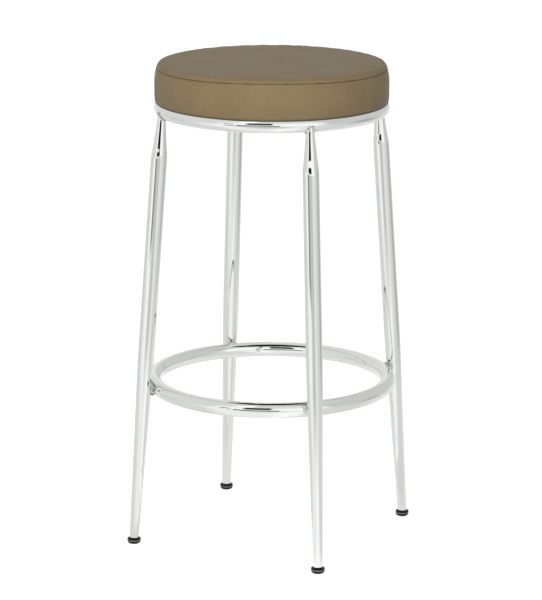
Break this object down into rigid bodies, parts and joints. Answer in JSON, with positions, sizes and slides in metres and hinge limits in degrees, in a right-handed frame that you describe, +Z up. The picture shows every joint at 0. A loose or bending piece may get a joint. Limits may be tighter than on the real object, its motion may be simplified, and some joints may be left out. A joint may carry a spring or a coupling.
{
  "type": "counter stool",
  "caption": "Tall backless counter stool: a round padded vinyl seat on splayed, double-tapered chromed tube legs with a welded foot ring and black glides.",
  "frame": {"origin": "centre of the stool on the floor, under the middle of the seat", "axes": "+Z up along the stool's axis; the legs stand on the diagonals, so -Y is the front between two legs"},
  "size_m": [0.3952, 0.3952, 0.762],
  "materials": {
    "cover_vinyl": "taupe vinyl, fine grain, low sheen",
    "seat_foam": "open-cell foam",
    "plywood": "raw plywood",
    "dust_cloth": "black non-woven cloth",
    "chrome_tube": "bright chrome plate",
    "zinc_hardware": "bright zinc plate",
    "black_plastic": "moulded black plastic, satin"
  },
  "bodies": {
    "root": {"cover_top": "cover_vinyl", "cover_band": "cover_vinyl", "foam_pad": "seat_foam", "seat_board": "plywood", "dust_cover": "dust_cloth", "seat_ring": "chrome_tube", "foot_ring": "chrome_tube", "leg_front_left": "chrome_tube", "leg_front_right": "chrome_tube", "leg_back_right": "chrome_tube", "leg_back_left": "chrome_tube", "seat_weld_front_left": "chrome_tube", "seat_weld_front_right": "chrome_tube", "seat_weld_back_right": "chrome_tube", "seat_weld_back_left": "chrome_tube", "foot_weld_front_left": "chrome_tube", "foot_weld_front_right": "chrome_tube", "foot_weld_back_right": "chrome_tube", "foot_weld_back_left": "chrome_tube", "glide_front_left": "black_plastic", "glide_front_right": "black_plastic", "glide_back_right": "black_plastic", "glide_back_left": "black_plastic", "tab_right": "chrome_tube", "tab_back": "chrome_tube", "tab_left": "chrome_tube", "tab_front": "chrome_tube", "screw_right": "zinc_hardware", "screw_back": "zinc_hardware", "screw_left": "zinc_hardware", "screw_front": "zinc_hardware", "washer_right": "zinc_hardware", "washer_back": "zinc_hardware", "washer_left": "zinc_hardware", "washer_front": "zinc_hardware", "t_nut_right": "zinc_hardware", "t_nut_back": "zinc_hardware", "t_nut_left": "zinc_hardware", "t_nut_front": "zinc_hardware"}
  },
  "joints": []
}
